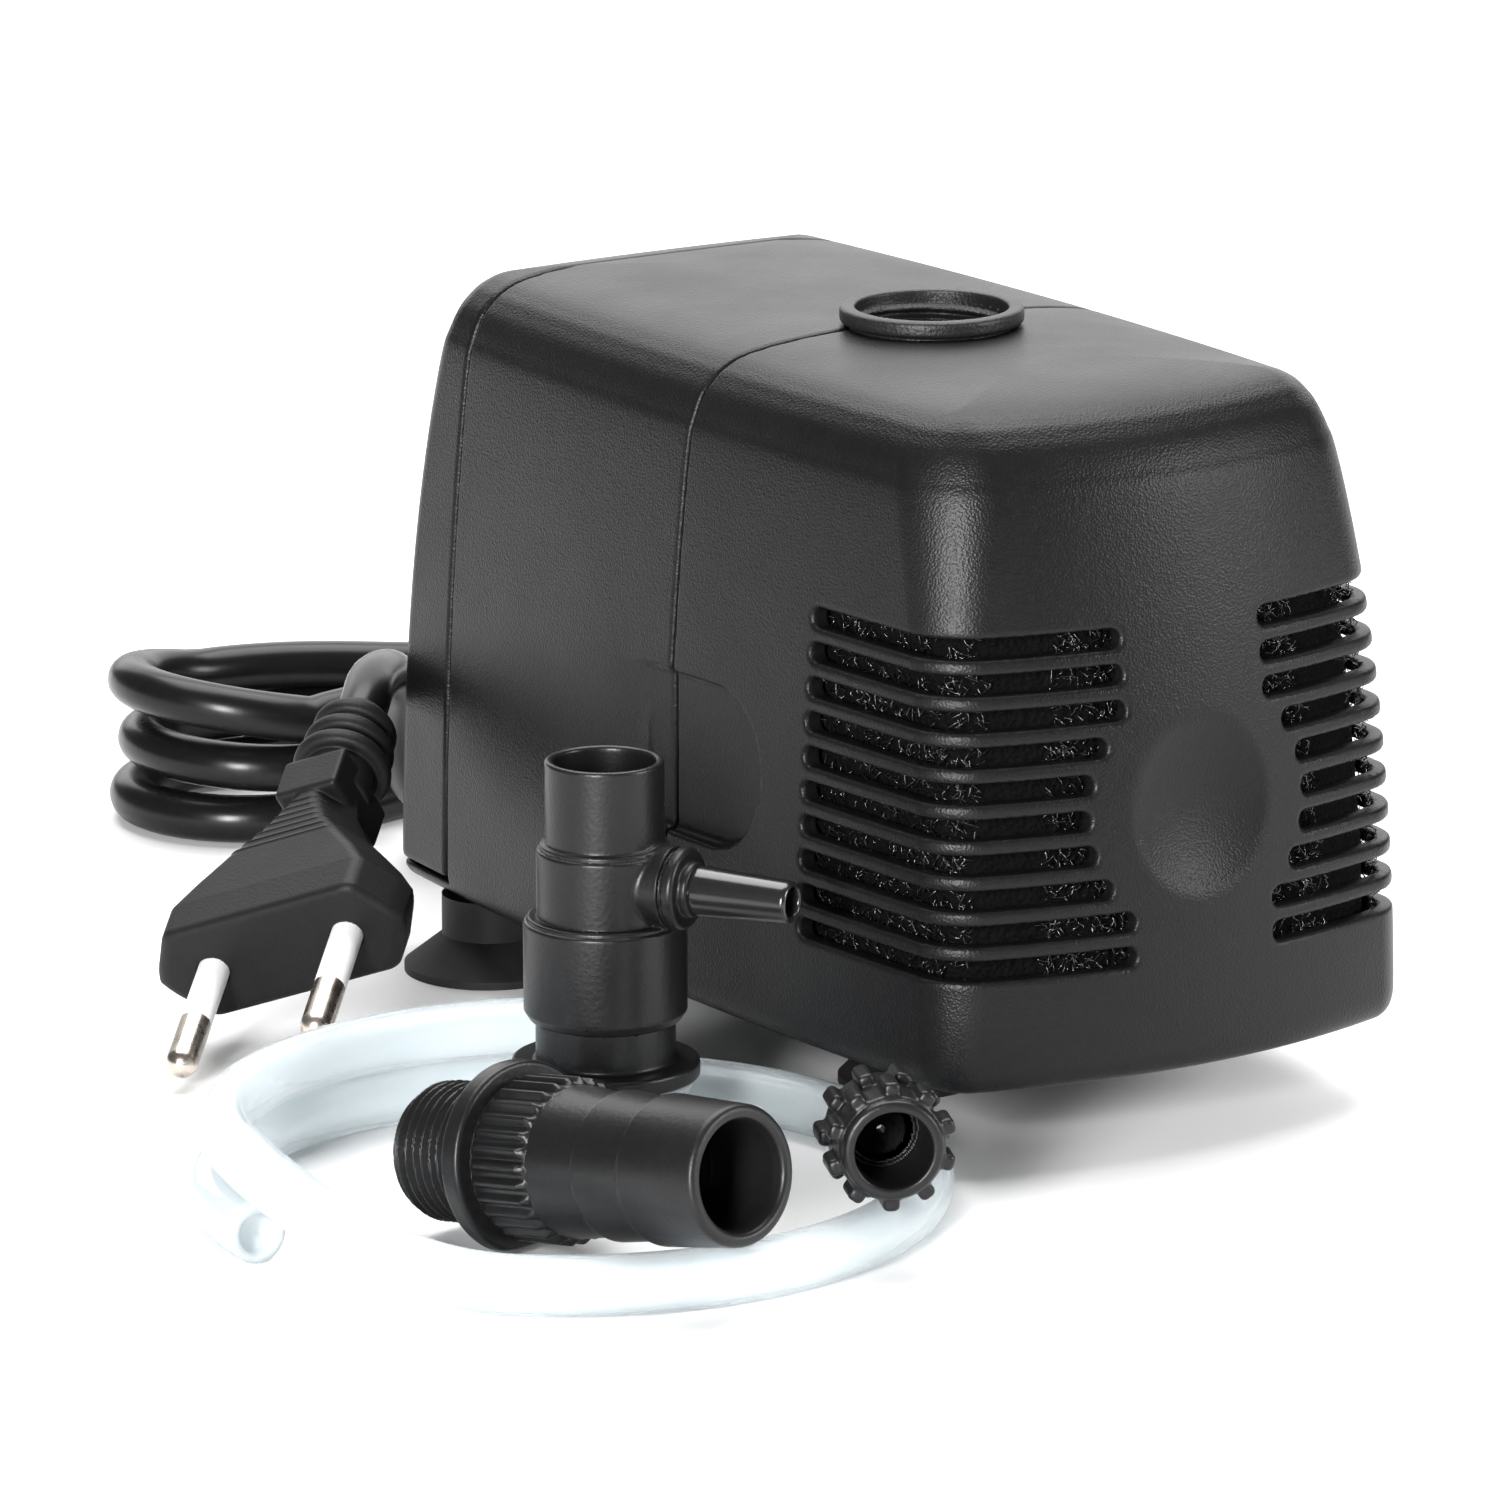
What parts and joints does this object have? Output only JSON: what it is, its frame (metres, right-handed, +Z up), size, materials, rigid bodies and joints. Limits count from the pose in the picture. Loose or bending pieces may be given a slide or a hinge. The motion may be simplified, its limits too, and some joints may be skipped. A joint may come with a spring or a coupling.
{
  "type": "fountain submersible pump",
  "caption": "Submersible fountain pump with slotted filter cage, threaded top outlet, mains cord with plug, venturi tee, hose tail and air tube.",
  "frame": {"origin": "on the ground under the middle of the pump body", "axes": "-Y is the slotted filter end, +Y the cord end, +Z up through the outlet"},
  "size_m": [0.2649, 0.2471, 0.0928],
  "materials": {
    "black_shell": "moulded satin black with a fine spark texture",
    "inner_black": "moulded satin black",
    "foam": "open cell black filter foam",
    "impeller_white": "natural moulded plastic",
    "ferrite": "sintered ferrite magnet",
    "white_ceramic": "ground ceramic",
    "black_rubber": "soft black rubber",
    "laminated_steel": "stamped electrical steel",
    "bobbin_plastic": "natural nylon",
    "enamelled_copper": "enamelled winding wire",
    "potting_resin": "cast epoxy",
    "stainless": "stainless steel",
    "cord_black": "smooth black rubber sheath",
    "plug_black": "moulded black plug",
    "nickel": "nickel plated brass",
    "sleeve_white": "white insulating sleeve",
    "fitting_black": "moulded black plastic",
    "nozzle_black": "polished black plastic",
    "clear_silicone": "translucent silicone"
  },
  "bodies": {
    "pump": {"rear_cover": "black_shell", "motor_housing": "black_shell", "pump_chamber": "inner_black", "rotor_shaft": "white_ceramic", "rear_bush": "black_rubber", "rotor_can": "inner_black", "stator_core": "laminated_steel", "coil_bobbins": "bobbin_plastic", "coil_windings": "enamelled_copper", "potting_block": "potting_resin", "seal_ring": "black_rubber", "cable_gland": "plug_black", "rear_feet": "black_rubber", "chamber_screws": "stainless", "cord_lead": "cord_black", "cord_hank": "cord_black", "cord_tail": "cord_black", "plug_body": "plug_black", "plug_strain_relief": "plug_black", "plug_pins": "nickel", "pin_sleeves": "sleeve_white", "air_tube": "clear_silicone"},
    "cage": {"front_cage": "black_shell", "filter_sponge": "foam", "front_feet": "black_rubber"},
    "cover": {"chamber_cover": "inner_black", "front_bush": "black_rubber"},
    "rotor": {"impeller": "impeller_white", "rotor_magnet": "ferrite"},
    "tee": {"tee_body": "fitting_black", "tee_nozzle": "nozzle_black", "tee_gasket": "clear_silicone"},
    "hose_fitting": {"hose_tail": "fitting_black"},
    "air_cap": {"regulator_cap": "fitting_black"}
  },
  "joints": [
    {"name": "cage_pull", "type": "slide", "parent": "pump", "child": "cage", "axis": [0, -1, 0], "range_m": [0, 0.07]},
    {"name": "cover_twist", "type": "hinge", "parent": "pump", "child": "cover", "pos_m": [0, 0, 0.042], "axis": [0, 1, 0], "range_deg": [0, 25]},
    {"name": "rotor_spin", "type": "hinge", "parent": "pump", "child": "rotor", "pos_m": [0, 0, 0.042], "axis": [0, 1, 0], "continuous": true},
    {"name": "tee_lift", "type": "slide", "parent": "pump", "child": "tee", "axis": [0, 0, 1], "range_m": [0, 0.1]},
    {"name": "hose_tail_lift", "type": "slide", "parent": "pump", "child": "hose_fitting", "axis": [0, 0, 1], "range_m": [0, 0.1]},
    {"name": "air_cap_lift", "type": "slide", "parent": "pump", "child": "air_cap", "axis": [0, 0, 1], "range_m": [0, 0.1]}
  ]
}
